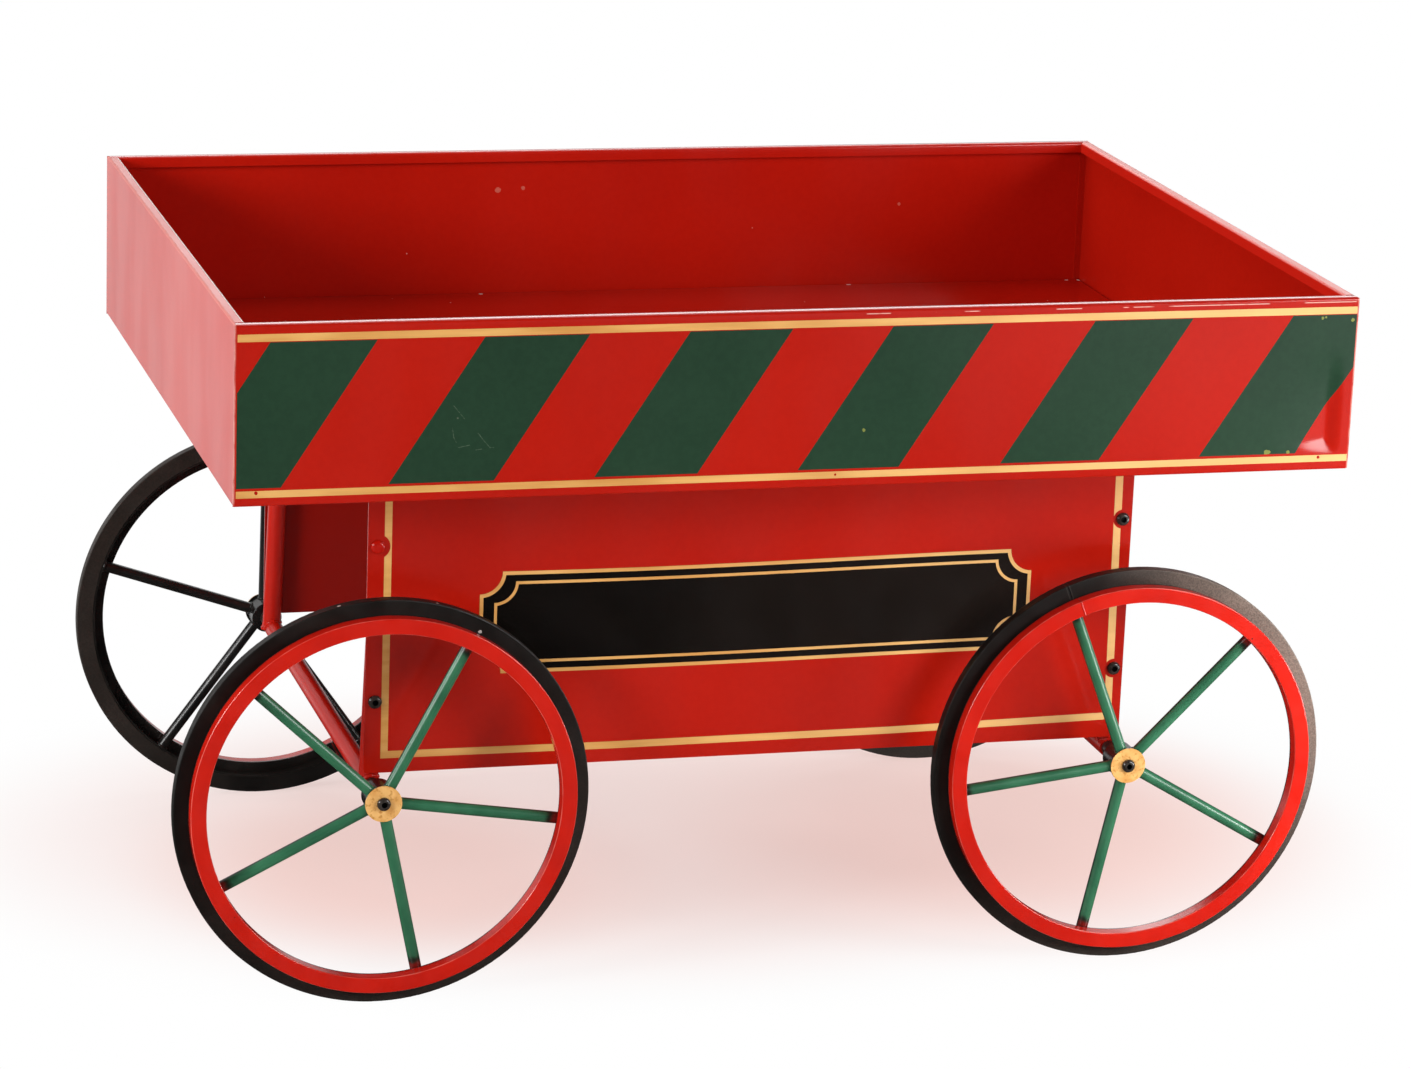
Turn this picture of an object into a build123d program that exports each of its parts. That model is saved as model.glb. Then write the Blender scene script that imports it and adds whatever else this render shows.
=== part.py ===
from build123d import *
import math
import os

# Tray: four folded walls round a floor pan, all of one gauge of sheet steel
tray_length = 914.4
tray_depth = 652.7
tray_height = 142.875
tray_bottom_z = 432.225
tray_shift_x = 9.4
sheet = 1.2
bend_inside = 1.2
rim_flange = 9.525
rim_lip = 9.525
foot_flange = 12.0
corner_tab = 6.0
floor_rise = 11.775
skirt_gap = 0.2

# Frame: round tube for the axles, the leaning posts and the ring of rails
tube_d = 15.875
tube_wall = 1.65
weld_gap = 0.1
axle_spacing = 628.6
post_foot_offset = 1.5
post_lean = 1.8

# Side panels
panel_face_y = 226.4
panel_thickness = 1.5
panel_overhang = 5.8
panel_axle_gap = 10.54
panel_top_gap = 2.8
panel_corner_r = 3.0

# Button-head screws, one thread size for panels and axles
thread_d = 6.35
thread_fit = 0.05
hole_clearance = 0.25
head_d = 11.1
head_height = 3.35
head_edge = 0.75
socket_af = 3.97
socket_depth = 2.0
screw_length = 12.7
screw_inset = 2.3
screw_above_bottom = 60.0
screw_below_top = 72.0

# Wheels: square bar rim with a seat band behind it, rubber tyre on the band, five rod spokes and a plain hub
tyre_radius = 168.46
tyre_height = 13.96
tyre_width = 10.0
tyre_round = 1.0
rim_bar = 12.7
rim_round = 1.0
rim_lap = 1.9
band_thickness = 1.9
band_setback = 0.25
tyre_seat_gap = 0.1
spoke_d = 9.525
hub_d = 26.6
hub_length = 24.2
hub_outboard = 5.36
hub_chamfer = 0.6
front_left_angles = (-8.5, 62.0, 137.0, 206.75, 282.0)
front_right_angles = (-30.5, 45.5, 111.5, 186.75, 258.25)
rear_left_angles = (17.3, 89.3, 161.3, 233.3, 305.3)
rear_right_angles = (41.0, 113.0, 185.0, 257.0, 329.0)

# Stub axles: a plug in each tube end, a stepped sleeve, a washer and a bolt
journal_d = 9.525
spacer_d = 12.7
spacer_length = 21.7
running_clearance = 0.05
end_play = 0.3
plug_length = 24.0
plug_fit = 0.05
bolt_tip_gap = 2.0
washer_d = 30.0
washer_thickness = 1.6

# Sizes that follow from the ones above
bend_outside = bend_inside + sheet
tray_top_z = tray_bottom_z + tray_height
floor_top_z = tray_bottom_z + floor_rise
tube_r = tube_d / 2
axle_x = axle_spacing / 2
axle_z = tyre_radius
axle_end_y = panel_face_y - panel_thickness
post_foot_x = axle_x + post_foot_offset
post_y = axle_end_y - tube_r
post_slope = math.tan(math.radians(post_lean))
rail_z = floor_top_z - sheet - tube_r
post_top_x = post_foot_x - (rail_z - axle_z) * post_slope
panel_width = 2 * (post_foot_x + panel_overhang)
panel_bottom_z = axle_z + panel_axle_gap
panel_top_z = floor_top_z - sheet - panel_top_gap
screw_x = post_foot_x - screw_inset
screw_low_z = panel_bottom_z + screw_above_bottom
screw_high_z = panel_top_z - screw_below_top
head_round = head_height - head_edge
tyre_inner_r = tyre_radius - tyre_height
rim_outer_r = tyre_inner_r + rim_lap
rim_inner_r = rim_outer_r - rim_bar
band_outer_r = tyre_inner_r - tyre_seat_gap
band_inner_r = band_outer_r - band_thickness
rim_back_y = -(spoke_d / 2 + weld_gap)
tyre_out_y = rim_back_y + tyre_seat_gap
tyre_in_y = tyre_out_y + tyre_width
shoulder_y = axle_end_y + spacer_length
hub_inner_y = shoulder_y + end_play
hub_outer_y = hub_inner_y + hub_length
wheel_y = hub_outer_y - hub_outboard
journal_end_y = hub_outer_y + end_play
washer_face_y = journal_end_y + washer_thickness
bolt_length = washer_face_y - axle_end_y + plug_length - bolt_tip_gap

os.makedirs("parts", exist_ok=True)


# Writes one node: a single solid, or a group of separate ones
def save(name, *solids):
    shape = solids[0] if len(solids) == 1 else Compound(children=list(solids))
    shape.label = name
    export_step(shape, f"parts/{name}.step")


def mirror_front_to_rear(shape):
    return mirror(shape, about=Plane.XZ)


def mirror_left_to_right(shape):
    return mirror(shape, about=Plane.YZ)


# Box from its low corner to its high corner
def block(low, high):
    size = [high[i] - low[i] for i in range(3)]
    middle = [(high[i] + low[i]) / 2 for i in range(3)]
    return Pos(*middle) * Box(*size)


def rod(start, direction, length, radius):
    return extrude(Plane(origin=start, z_dir=direction) * Circle(radius), length)


def tube(start, direction, length):
    ring = Circle(tube_r) - Circle(tube_r - tube_wall)
    return extrude(Plane(origin=start, z_dir=direction) * ring, length)


# Cross-section of a tray wall: foot, upright, rim flange and hanging lip
def wall_section():
    outline = FilletPolyline(
        (foot_flange, 0),
        (0, 0),
        (0, tray_height),
        (rim_flange, tray_height),
        (rim_flange, tray_height - rim_lip),
        radius=bend_outside,
    )
    return make_face(offset(outline, amount=-sheet, side=Side.RIGHT))


# Long wall at the front: upright over the full length, flanges stop inside the end walls
def long_wall():
    plane = Plane(
        origin=(tray_shift_x - tray_length / 2, -tray_depth / 2, tray_bottom_z),
        x_dir=(0, 1, 0),
        z_dir=(1, 0, 0),
    )
    wall = extrude(plane * wall_section(), tray_length)
    depth = max(rim_flange, foot_flange) + 1
    for side in (-1, 1):
        edge = tray_shift_x + side * tray_length / 2
        inner = edge - side * sheet
        low = (min(edge, inner), -tray_depth / 2 + sheet, tray_bottom_z - 1)
        high = (max(edge, inner), -tray_depth / 2 + depth, tray_top_z + 1)
        wall -= block(low, high)
    return wall


# End wall at the left: fits between the long walls and laps them with two tabs
def end_wall():
    length = tray_depth - 2 * sheet
    outer_x = -tray_length / 2
    plane = Plane(
        origin=(outer_x, length / 2, tray_bottom_z),
        x_dir=(1, 0, 0),
        z_dir=(0, -1, 0),
    )
    wall = extrude(plane * wall_section(), length)
    middle_z = tray_bottom_z + tray_height / 2
    for side in (-1, 1):
        end_y = side * length / 2
        for flange, low_z, high_z in (
            (foot_flange, tray_bottom_z - 1, middle_z),
            (rim_flange, middle_z, tray_top_z + 1),
        ):
            stop_y = side * (tray_depth / 2 - flange)
            low = (outer_x + sheet, min(end_y, stop_y), low_z)
            high = (outer_x + flange + 1, max(end_y, stop_y), high_z)
            wall -= block(low, high)
        tab_y = end_y - side * sheet
        low = (outer_x + sheet / 2, min(end_y, tab_y), floor_top_z)
        high = (outer_x + sheet + corner_tab, max(end_y, tab_y), tray_top_z - rim_lip - 1)
        wall += block(low, high)
    return wall


# Floor pan: flat sheet with its edges turned down inside the walls
def tray_floor():
    half_x = tray_length / 2 - sheet
    half_y = tray_depth / 2 - sheet
    skirt_z = tray_bottom_z + bend_outside + skirt_gap
    pan = block((-half_x, -half_y, skirt_z), (half_x, half_y, floor_top_z))
    top_edges = pan.faces().sort_by(Axis.Z)[-1].edges()
    pan = fillet(top_edges, bend_outside)
    hollow = block(
        (-half_x + sheet, -half_y + sheet, skirt_z - 1),
        (half_x - sheet, half_y - sheet, floor_top_z - sheet),
    )
    return Pos(tray_shift_x, 0, 0) * (pan - hollow)


# Side panel at the front, with clearance holes for its four screws
def side_panel():
    height = panel_top_z - panel_bottom_z
    plane = Plane(
        origin=(0, -panel_face_y, panel_bottom_z + height / 2),
        x_dir=(1, 0, 0),
        z_dir=(0, -1, 0),
    )
    sheet_outline = RectangleRounded(panel_width, height, panel_corner_r)
    panel = extrude(plane * sheet_outline, -panel_thickness)
    for x, z in screw_places():
        start = (x, -panel_face_y - 1, z)
        panel -= rod(start, (0, 1, 0), panel_thickness + 2, thread_d / 2 + hole_clearance)
    return panel


def screw_places():
    return [(x, z) for x in (-screw_x, screw_x) for z in (screw_low_z, screw_high_z)]


# Button head with its shank, pointing along +Y from the seat at the origin
def button_screw(length, with_socket=True):
    head = rod((0, 0, 0), (0, -1, 0), head_height, head_d / 2)
    crown = head.edges().filter_by(GeomType.CIRCLE).sort_by(Axis.Y)[0]
    head = fillet(crown, head_round)
    screw = head + rod((0, 0, 0), (0, 1, 0), length, thread_d / 2)
    if with_socket:
        bottom = Plane(origin=(0, -head_height + socket_depth, 0), z_dir=(0, -1, 0))
        hexagon = RegularPolygon(socket_af / 2, 6, major_radius=False)
        screw -= extrude(bottom * hexagon, socket_depth + 1)
    return screw


# Leaning post at the front left, coped over the axle tube and under both rails
def corner_post():
    lean = math.radians(post_lean)
    direction = (math.sin(lean), 0, math.cos(lean))
    foot = (-post_foot_x, -post_y, axle_z)
    post = tube(foot, direction, (rail_z - axle_z) / math.cos(lean))
    reach = 4 * tube_d
    cope_r = tube_r + weld_gap
    post -= rod((-axle_x, -post_y - reach, axle_z), (0, 1, 0), 2 * reach, cope_r)
    post -= rod((-post_top_x - reach, -post_y, rail_z), (1, 0, 0), 2 * reach, cope_r)
    post -= rod((-post_top_x, -post_y, rail_z), (0, 1, 0), reach, cope_r)
    for z in (screw_low_z, screw_high_z):
        start = (-screw_x, -panel_face_y, z)
        post -= rod(start, (0, 1, 0), screw_length + end_play, thread_d / 2 + thread_fit)
    return post


# Rail along the front, over both posts
def top_rail():
    length = 2 * (post_top_x + tube_r)
    return tube((-length / 2, -post_y, rail_z), (1, 0, 0), length)


# Rail across the left end, coped between the front and rear rails
def cross_rail():
    rail = tube((-post_top_x, -post_y, rail_z), (0, 1, 0), 2 * post_y)
    reach = 4 * tube_d
    for side in (-1, 1):
        start = (-post_top_x - reach, side * post_y, rail_z)
        rail -= rod(start, (1, 0, 0), 2 * reach, tube_r + weld_gap)
    return rail


def axle_tube():
    return tube((-axle_x, -axle_end_y, axle_z), (0, 1, 0), 2 * axle_end_y)


# Threaded plug inside the front end of the left axle tube
def axle_plug():
    start = (-axle_x, -axle_end_y, axle_z)
    plug = rod(start, (0, 1, 0), plug_length, tube_r - tube_wall - plug_fit)
    return plug - rod(start, (0, 1, 0), plug_length, thread_d / 2 + thread_fit)


# Stepped sleeve at the front left: spacer against the tube, journal through the hub
def axle_sleeve():
    start = (-axle_x, -axle_end_y, axle_z)
    sleeve = rod(start, (0, -1, 0), shoulder_y - axle_end_y, spacer_d / 2)
    sleeve += rod(start, (0, -1, 0), journal_end_y - axle_end_y, journal_d / 2)
    bore_length = journal_end_y - axle_end_y
    return sleeve - rod(start, (0, -1, 0), bore_length, thread_d / 2 + hole_clearance)


def hub_washer():
    start = (-axle_x, -journal_end_y, axle_z)
    washer = rod(start, (0, -1, 0), washer_thickness, washer_d / 2)
    return washer - rod(start, (0, -1, 0), washer_thickness, thread_d / 2 + hole_clearance)


def axle_bolt():
    return Pos(-axle_x, -washer_face_y, axle_z) * button_screw(bolt_length)


# Wheel pieces at the origin, turning about Y, outboard side towards -Y
def spun(section):
    return revolve(Plane.XY * section, Axis.Y)


def wheel_rim():
    front_y = rim_back_y - rim_bar
    band_end_y = tyre_in_y - band_setback
    section = make_face(
        Polyline(
            (rim_inner_r, front_y),
            (rim_inner_r, rim_back_y),
            (band_inner_r, rim_back_y),
            (band_inner_r, band_end_y),
            (band_outer_r, band_end_y),
            (band_outer_r, rim_back_y),
            (rim_outer_r, rim_back_y),
            (rim_outer_r, front_y),
            close=True,
        )
    )
    corners = section.vertices().filter_by(lambda v: not band_inner_r - 0.01 < v.X < band_outer_r + 0.01)
    return spun(fillet(corners, rim_round))


def wheel_tyre():
    section = make_face(
        Polyline(
            (tyre_inner_r, tyre_out_y),
            (tyre_inner_r, tyre_in_y),
            (tyre_radius, tyre_in_y),
            (tyre_radius, tyre_out_y),
            close=True,
        )
    )
    tread = section.vertices().filter_by(lambda v: v.X > tyre_radius - 0.01)
    return spun(fillet(tread, tyre_round))


# Spokes lie against the back of the rim bar and end at the seat band
def wheel_spokes(angles):
    length = band_inner_r + 5
    inside = rod((0, -length, 0), (0, 1, 0), 2 * length, band_inner_r - weld_gap)
    barrel = rod((0, -length, 0), (0, 1, 0), 2 * length, hub_d / 2 + weld_gap)
    spoke = (rod((0, 0, 0), (1, 0, 0), length, spoke_d / 2) & inside) - barrel
    return [Rot(0, -angle, 0) * spoke for angle in angles]


def wheel_hub():
    start = (0, -hub_outboard, 0)
    hub = rod(start, (0, 1, 0), hub_length, hub_d / 2)
    rims = hub.edges().filter_by(GeomType.CIRCLE)
    hub = chamfer(rims, hub_chamfer)
    return hub - rod(start, (0, 1, 0), hub_length, journal_d / 2 + running_clearance)


# Tray
front_wall = long_wall()
left_wall = end_wall()
save("tray_floor", tray_floor())
save("tray_front_wall", front_wall)
save("tray_rear_wall", mirror_front_to_rear(front_wall))
save("tray_left_wall", Pos(tray_shift_x, 0, 0) * left_wall)
save("tray_right_wall", Pos(tray_shift_x, 0, 0) * mirror_left_to_right(left_wall))

# Frame
post = corner_post()
save("front_left_post", post)
save("front_right_post", mirror_left_to_right(post))
save("rear_left_post", mirror_front_to_rear(post))
save("rear_right_post", mirror_front_to_rear(mirror_left_to_right(post)))
save("front_top_rail", top_rail())
save("rear_top_rail", mirror_front_to_rear(top_rail()))
save("left_cross_rail", cross_rail())
save("right_cross_rail", mirror_left_to_right(cross_rail()))
save("left_axle_tube", axle_tube())
save("right_axle_tube", mirror_left_to_right(axle_tube()))

# Side panels and their screws: the front upper left one is painted over
front_panel = side_panel()
save("front_side_panel", front_panel)
save("rear_side_panel", mirror_front_to_rear(front_panel))
black_screws = []
for x, z in screw_places():
    seat = Pos(x, -panel_face_y, z)
    if (x, z) == (-screw_x, screw_high_z):
        save("painted_panel_screw", seat * button_screw(screw_length, with_socket=False))
    else:
        black_screws.append(seat * button_screw(screw_length))
    black_screws.append(mirror_front_to_rear(seat * button_screw(screw_length)))
save("panel_screws", *black_screws)


# Stub axle pieces at all four corners
def at_four_corners(piece):
    left_pair = [piece, mirror_front_to_rear(piece)]
    return left_pair + [mirror_left_to_right(each) for each in left_pair]


save("axle_plugs", *at_four_corners(axle_plug()))
save("axle_bolts", *at_four_corners(axle_bolt()))
save("hub_washers", *at_four_corners(hub_washer()))
corners = ("front_left", "rear_left", "front_right", "rear_right")
for corner, sleeve in zip(corners, at_four_corners(axle_sleeve())):
    save(f"{corner}_axle_sleeve", sleeve)

# Four wheels
front_rim, front_tyre, front_hub = wheel_rim(), wheel_tyre(), wheel_hub()
rear_rim, rear_tyre, rear_hub = (mirror_front_to_rear(each) for each in (front_rim, front_tyre, front_hub))
front_pieces = (front_rim, front_tyre, front_hub)
rear_pieces = (rear_rim, rear_tyre, rear_hub)
for corner, x_side, y_side, pieces, angles in (
    ("front_left", -1, -1, front_pieces, front_left_angles),
    ("front_right", 1, -1, front_pieces, front_right_angles),
    ("rear_left", -1, 1, rear_pieces, rear_left_angles),
    ("rear_right", 1, 1, rear_pieces, rear_right_angles),
):
    place = Pos(x_side * axle_x, y_side * wheel_y, axle_z)
    rim, tyre, hub = pieces
    save(f"{corner}_tyre", place * tyre)
    save(f"{corner}_rim", place * rim)
    save(f"{corner}_spokes", *[place * spoke for spoke in wheel_spokes(angles)])
    save(f"{corner}_hub", place * hub)
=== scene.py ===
import math
import random

import bmesh
import bpy
from mathutils import Matrix, Vector


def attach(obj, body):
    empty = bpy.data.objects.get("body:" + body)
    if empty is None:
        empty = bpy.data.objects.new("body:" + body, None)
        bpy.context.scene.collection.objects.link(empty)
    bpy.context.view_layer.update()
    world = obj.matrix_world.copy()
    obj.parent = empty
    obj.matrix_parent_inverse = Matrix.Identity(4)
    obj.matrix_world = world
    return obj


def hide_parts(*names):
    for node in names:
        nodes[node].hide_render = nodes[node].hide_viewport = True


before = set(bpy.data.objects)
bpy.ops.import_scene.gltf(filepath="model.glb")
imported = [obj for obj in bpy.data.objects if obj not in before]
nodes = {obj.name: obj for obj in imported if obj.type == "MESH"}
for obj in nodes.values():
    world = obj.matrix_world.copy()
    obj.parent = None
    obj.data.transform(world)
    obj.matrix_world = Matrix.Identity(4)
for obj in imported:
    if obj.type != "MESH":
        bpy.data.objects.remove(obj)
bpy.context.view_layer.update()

MM = 0.001

# Sizes that repeat the CAD model's, in mm
TRAY_LENGTH, TRAY_DEPTH, TRAY_HEIGHT = 914.4, 652.7, 142.875
TRAY_BOTTOM, TRAY_FLOOR, TRAY_SHIFT = 432.225, 444.0, 9.4
SHEET, BEND = 1.2, 2.4
RIM_FLANGE, RIM_LIP, FOOT_FLANGE = 9.525, 9.525, 12.0
PANEL_FACE = 226.4
AXLE_X, AXLE_Z, WHEEL_Y = 314.3, 168.46, 265.74
TUBE_R, POST_FOOT_X, POST_Y = 7.9375, 315.8, 216.96
BAR_INNER, BAR_OUTER, BAR_BACK_Y, BAR_WIDTH = 143.7, 156.4, 270.6, 12.7
BAND_INNER, HUB_R, SPOKE_R = 152.5, 13.3, 4.7625
SCREW_X, SCREW_LOW, SCREW_HIGH = 313.5, 239.0, 368.0

# What differs from wheel to wheel, angles in degrees: spokes, the tyre's joint, the rim's weld seam,
# painted sheen on the rubber where light falls on it as (middle, full to, none from, amount) and scuffs as
# (x, y, z, radius) in mm
WHEELS = {
    "front_left": {
        "spokes": (-8.5, 62.0, 137.0, 206.75, 282.0), "joint": 200.0, "seam": 196.0,
        "painted_sheens": [(-60.0, 30.0, 130.0, 0.09)],
        "scuffs": [(-352.2, -267.0, 332.6, 1.6), (-238.8, -270.5, 307.6, 1.4), (-273.5, -268.0, 331.9, 1.1)],
    },
    "front_right": {
        "spokes": (-30.5, 45.5, 111.5, 186.75, 258.25), "joint": 111.5, "seam": 110.2,
        "painted_sheens": [(34.0, 14.0, 74.0, 0.85), (-50.0, 30.0, 120.0, 0.16)],
        "scuffs": [],
    },
    "rear_left": {
        "spokes": (17.3, 89.3, 161.3, 233.3, 305.3), "joint": -60.0, "seam": -63.0,
        "painted_sheens": [(170.0, 40.0, 100.0, 0.11)],
        "scuffs": [],
    },
    "rear_right": {
        "spokes": (41.0, 113.0, 185.0, 257.0, 329.0), "joint": 20.0, "seam": 24.0,
        "painted_sheens": [(-70.0, 30.0, 120.0, 0.08)],
        "scuffs": [],
    },
}


# Axle's x in mm, and which side of the cart the wheel is on: -1 front, 1 rear
def wheel_place(corner):
    return AXLE_X if corner.endswith("right") else -AXLE_X, -1.0 if corner.startswith("front") else 1.0


# Node tree with short calls for the nodes that the finishes, the floor and the world share
class Graph:
    def __init__(self, tree):
        self.tree = tree

    def node(self, kind, values=None, **settings):
        made = self.tree.nodes.new("ShaderNode" + kind)
        for name, value in settings.items():
            setattr(made, name, value)
        for socket, value in (values or {}).items():
            if isinstance(value, bpy.types.NodeSocket):
                self.tree.links.new(value, made.inputs[socket])
            else:
                made.inputs[socket].default_value = value
        return made

    def math(self, operation, a, b=0.0, c=0.0):
        return self.node("Math", {0: a, 1: b, 2: c}, operation=operation).outputs[0]

    def chain(self, operation, first, *others):
        for other in others:
            first = self.math(operation, first, other)
        return first

    def product(self, *values):
        return self.chain("MULTIPLY", *values)

    def largest(self, *values):
        return self.chain("MAXIMUM", *values)

    def smallest(self, *values):
        return self.chain("MINIMUM", *values)

    # How far a value lies from a number
    def off(self, value, number):
        return self.math("ABSOLUTE", self.math("SUBTRACT", value, number))

    def split(self, vector):
        return self.node("SeparateXYZ", {0: vector}).outputs[:]

    def length(self, vector):
        return self.node("VectorMath", {0: vector}, operation="LENGTH").outputs["Value"]

    def distance(self, a, b):
        return self.node("VectorMath", {0: a, 1: b}, operation="DISTANCE").outputs["Value"]

    # Smooth step from one level to another while a value goes from low to high
    def between(self, value, low, high, at_low=0.0, at_high=1.0):
        values = {"Value": value, "From Min": low, "From Max": high, "To Min": at_low, "To Max": at_high}
        return self.node("MapRange", values, interpolation_type="SMOOTHSTEP").outputs[0]

    def mix(self, factor, a, b):
        paint = [(*v, 1.0) if isinstance(v, tuple) else v for v in (a, b)]
        return self.node("Mix", {0: factor, 6: paint[0], 7: paint[1]}, data_type="RGBA").outputs[2]


# One finish: a principled shader whose detail is laid out in the cart's own frame
class Finish(Graph):
    def __init__(self, name, sockets):
        self.material = bpy.data.materials.new(name)
        self.material.use_nodes = True
        super().__init__(self.material.node_tree)
        self.shader = next(n for n in self.tree.nodes if n.type == "BSDF_PRINCIPLED")
        for socket, value in sockets.items():
            self.shader.inputs[socket].default_value = value
        coords = self.node("TexCoord")
        self.place, self.facing = coords.outputs["Object"], coords.outputs["Normal"]

    def noise(self, scale, detail=2.0, stretch=None, shift=(0, 0, 0)):
        place = self.place
        if stretch or any(shift):
            values = {"Vector": place, "Scale": stretch or (1, 1, 1), "Location": shift}
            place = self.node("Mapping", values).outputs[0]
        return self.node("TexNoise", {"Vector": place, "Scale": scale, "Detail": detail}).outputs[0]

    # Noise spread over two levels: nearly all of it lies between 0.3 and 0.7
    def cloud(self, scale, detail=2.0, at_low=0.0, at_high=1.0, **laid):
        return self.between(self.noise(scale, detail, **laid), 0.3, 0.7, at_low, at_high)

    # Place with y left out, for what is the same through the thickness
    def flat(self):
        x, y, z = self.split(self.place)
        return self.node("CombineXYZ", {0: x, 2: z}).outputs[0]

    # Angle round a wheel's axle
    def turn(self, centre_x):
        x, y, z = self.split(self.place)
        over = self.math("SUBTRACT", x, centre_x * MM)
        return self.math("ARCTAN2", self.math("SUBTRACT", z, AXLE_Z * MM), over)

    # Distance from a wheel's axle
    def reach(self, centre_x):
        return self.distance(self.flat(), (centre_x * MM, 0, AXLE_Z * MM))

    # Sparse round nicks: about one cell in every 1 / share gets one
    def nicks(self, scale, radius, share):
        cells = self.node("TexVoronoi", {"Vector": self.place, "Scale": scale})
        near = self.math("LESS_THAN", cells.outputs["Distance"], radius * scale)
        chance = self.split(cells.outputs["Color"])[0]
        return self.product(near, self.math("LESS_THAN", chance, share))

    # Ragged spots at given places: (x, y, z, radius) in mm
    def spots(self, places):
        wobble = self.math("MULTIPLY_ADD", self.noise(700.0), 0.9, 0.55)
        masks = []
        for x, y, z, radius in places:
            away = self.distance(self.place, (x * MM, y * MM, z * MM))
            masks.append(self.math("LESS_THAN", away, self.product(wobble, radius * MM)))
        return self.largest(*masks)

    # Hairline scratches on a long wall's face: runs of (x, z) in mm
    def scratches(self, runs, width):
        flat = self.flat()
        wobble = self.math("MULTIPLY_ADD", self.noise(420.0), 2.4 * width * MM, -0.7 * width * MM)
        masks = []
        for run in runs:
            for (x0, z0), (x1, z1) in zip(run, run[1:]):
                along = Vector((x1 - x0, 0, z1 - z0)) * MM
                unit = tuple(along.normalized())
                values = {0: flat, 1: (x0 * MM, 0, z0 * MM)}
                over = self.node("VectorMath", values, operation="SUBTRACT").outputs[0]
                done = self.node("VectorMath", {0: over, 1: unit}, operation="DOT_PRODUCT").outputs["Value"]
                held = self.node("Clamp", {0: done, 1: 0.0, 2: along.length}).outputs[0]
                nearest = self.node("VectorMath", {0: unit, "Scale": held}, operation="SCALE").outputs[0]
                masks.append(self.math("LESS_THAN", self.distance(over, nearest), wobble))
        return self.largest(*masks)

    # Layers of (height, distance in metres), each on top of the one before
    def bump(self, *layers):
        normal = None
        for height, distance in layers:
            values = {"Height": height, "Distance": distance, "Strength": 1.0}
            if normal is not None:
                values["Normal"] = normal
            normal = self.node("Bump", values).outputs[0]
        return normal

    def done(self, colour, rough, normal):
        for socket, value in (("Base Color", colour), ("Roughness", rough), ("Normal", normal)):
            self.tree.links.new(value, self.shader.inputs[socket])
        return self.material


# Gloss enamel on sheet or tube: broad and fine colour drift, orange peel, a slightly wavy sheet, small nicks.
# The argument before dull adds to the colour what one kind of piece has beside that: real marks, and on some
# pieces painted light and shade; dull says where that piece shines less
def enamel(name, dark, light, nick_colour, gloss=(0.15, 0.21), wave=0.0002, share=0.03, seed=0.0,
           peel=0.000005, shine=0.45, wear_and_light=None, dull=None):
    f = Finish(name, {"IOR": 1.5, "Specular IOR Level": shine})
    shift = (seed, seed * 0.7, -seed)
    drift = f.math("ADD", f.cloud(4.5, 3.0, 0.0, 0.72, shift=shift), f.cloud(210.0, 2.0, 0.0, 0.28))
    colour = f.mix(drift, dark, light)
    colour = f.mix(f.nicks(62.0, 0.0007, share), colour, nick_colour)
    if wear_and_light:
        colour = wear_and_light(f, colour)
    rough = f.between(f.noise(14.0, stretch=(1, 1, 0.5), shift=shift), 0.3, 0.72, *gloss)
    if dull:
        rough = f.math("MULTIPLY_ADD", dull(f), 0.14, rough)
    sheet = f.noise(5.0, 1.0, stretch=(1.0, 1.0, 0.4), shift=shift)
    return f.done(colour, rough, f.bump((sheet, wave), (f.noise(240.0, 1.0), peel)))


# Front wall, painted highlights: pale dashes along the top fold that grow to the right and break where the
# paint is worn, a pale inner edge on the flange and pale glints on the upright ends
def front_wear_and_glints(f, colour):
    x, y, z = f.split(f.place)
    # Painted highlight along the top fold, in dashes that grow to the right and break where the paint is worn
    fold = f.product(f.between(z, 0.5712, 0.5714), f.between(z, 0.5719, 0.5721, 1.0, 0.0))
    fold = f.product(fold, f.between(y, -0.3236, -0.3232, 1.0, 0.0))
    more = f.between(x, -0.05, 0.42, -0.05, 0.09)
    dashes = f.between(f.math("ADD", f.noise(26.0, 3.0, stretch=(1, 0, 0)), more), 0.54, 0.58)
    edge_glint = f.product(fold, dashes, f.between(x, -0.08, 0.1, 0.0, 0.75))
    colour = f.mix(edge_glint, colour, (0.90, 0.60, 0.50))
    # Painted highlight along the flange's inner edge
    inner = f.product(f.between(y, -0.3200, -0.3196), f.between(f.split(f.facing)[2], 0.3, 0.6), 0.8)
    colour = f.mix(inner, colour, (0.96, 0.84, 0.79))
    # Painted glints on the wall's upright ends
    end = f.between(f.off(x, TRAY_SHIFT * MM), 0.4556, 0.4568)
    end_glint = f.product(end, f.between(f.noise(60.0, 3.0), 0.3, 0.55, 0.2, 0.75))
    return f.mix(end_glint, colour, (0.80, 0.34, 0.28))


# How far a face looks away from the tray, along its length
def outward(f):
    return f.product(f.split(f.facing)[0], f.math("SIGN", f.split(f.place)[0]))
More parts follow.
